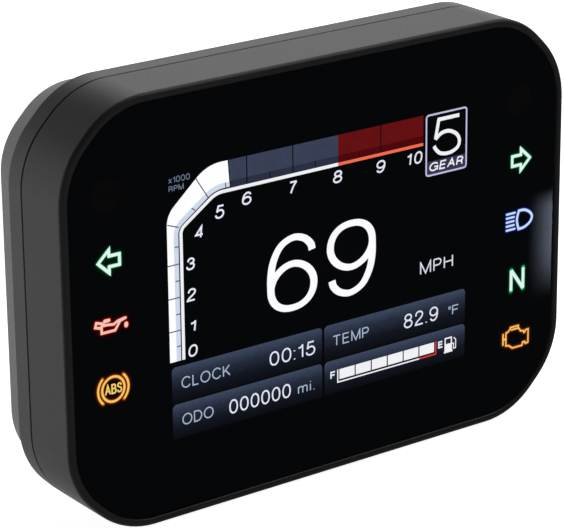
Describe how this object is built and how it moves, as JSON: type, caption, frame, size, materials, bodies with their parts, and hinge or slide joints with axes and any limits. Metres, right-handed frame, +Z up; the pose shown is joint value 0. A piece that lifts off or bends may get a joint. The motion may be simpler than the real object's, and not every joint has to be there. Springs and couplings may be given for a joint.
{
  "type": "motorcycle instrument cluster",
  "caption": "Motorcycle instrument cluster: a colour display and warning lights behind one gloss lens in a sealed black case with a rear mounting pad.",
  "frame": {"origin": "centre of the flat rear mounting face", "axes": "+Y out of the rear mounting face, away from the rider; the display faces -Y; +Z up; +X to the right of a reader of the display"},
  "size_m": [0.1178, 0.036, 0.084],
  "materials": {
    "bezel_plastic": "fine moulded grain, black",
    "rear_plastic": "fine moulded grain, black",
    "lens_plastic": "hard-coated gloss, black printed behind",
    "foam": "matte closed-cell foam",
    "film": "satin printed film",
    "white_plastic": "satin white",
    "panel_glass": "polished",
    "clear_acrylic": "polished, dotted on the back",
    "pressed_steel": "satin",
    "ribbon": "satin amber film",
    "board": "satin solder mask",
    "led": "clear encapsulant over phosphor",
    "chip": "matte moulded",
    "capacitor_can": "satin",
    "silicone": "matte",
    "zinc_steel": "zinc plated",
    "brass": "turned",
    "header_plastic": "satin",
    "contact": "tin plated",
    "button_rubber": "matte",
    "switch_body": "satin",
    "vent_plastic": "satin"
  },
  "bodies": {
    "cluster_case": {"adjust_switch": "switch_body", "board_screw_lower_left": "zinc_steel", "board_screw_lower_right": "zinc_steel", "board_screw_upper_left": "zinc_steel", "board_screw_upper_right": "zinc_steel", "breather_vent": "vent_plastic", "bus_transceiver": "chip", "case_screw_lower_left": "zinc_steel", "case_screw_lower_right": "zinc_steel", "case_screw_upper_left": "zinc_steel", "case_screw_upper_right": "zinc_steel", "case_seal": "silicone", "connector_header": "header_plastic", "connector_pin_1": "contact", "connector_pin_2": "contact", "connector_pin_3": "contact", "connector_pin_4": "contact", "connector_pin_5": "contact", "connector_pin_6": "contact", "connector_pin_7": "contact", "connector_pin_8": "contact", "connector_seal": "silicone", "display_carrier": "white_plastic", "flash_memory": "chip", "flex_connector": "header_plastic", "front_bezel": "bezel_plastic", "front_lens": "lens_plastic", "lcd_cell": "panel_glass", "lcd_flex": "ribbon", "lcd_frame": "pressed_steel", "lcd_light_guide": "clear_acrylic", "led_abs": "led", "led_engine_check": "led", "led_high_beam": "led", "led_neutral": "led", "led_oil_pressure": "led", "led_shift_left": "led", "led_shift_right": "led", "led_turn_left": "led", "led_turn_right": "led", "lens_gasket": "foam", "main_board": "board", "microcontroller": "chip", "mounting_insert_lower_left": "brass", "mounting_insert_lower_right": "brass", "mounting_insert_upper_left": "brass", "mounting_insert_upper_right": "brass", "power_inductor": "chip", "rear_housing": "rear_plastic", "select_switch": "switch_body", "supply_capacitor": "capacitor_can", "telltale_film_left": "film", "telltale_film_right": "film", "voltage_regulator": "chip"},
    "select_button_body": {"select_button": "button_rubber", "select_button_seal": "silicone", "select_switch_stem": "white_plastic"},
    "adjust_button_body": {"adjust_button": "button_rubber", "adjust_button_seal": "silicone", "adjust_switch_stem": "white_plastic"}
  },
  "joints": [
    {"name": "select_button_press", "type": "slide", "parent": "cluster_case", "child": "select_button_body", "axis": [0, -1, 0], "range_m": [0, 0.0008], "stiffness_N_per_m": 1800, "springref_m": -0.0004},
    {"name": "adjust_button_press", "type": "slide", "parent": "cluster_case", "child": "adjust_button_body", "axis": [0, -1, 0], "range_m": [0, 0.0008], "stiffness_N_per_m": 1800, "springref_m": -0.0004}
  ]
}
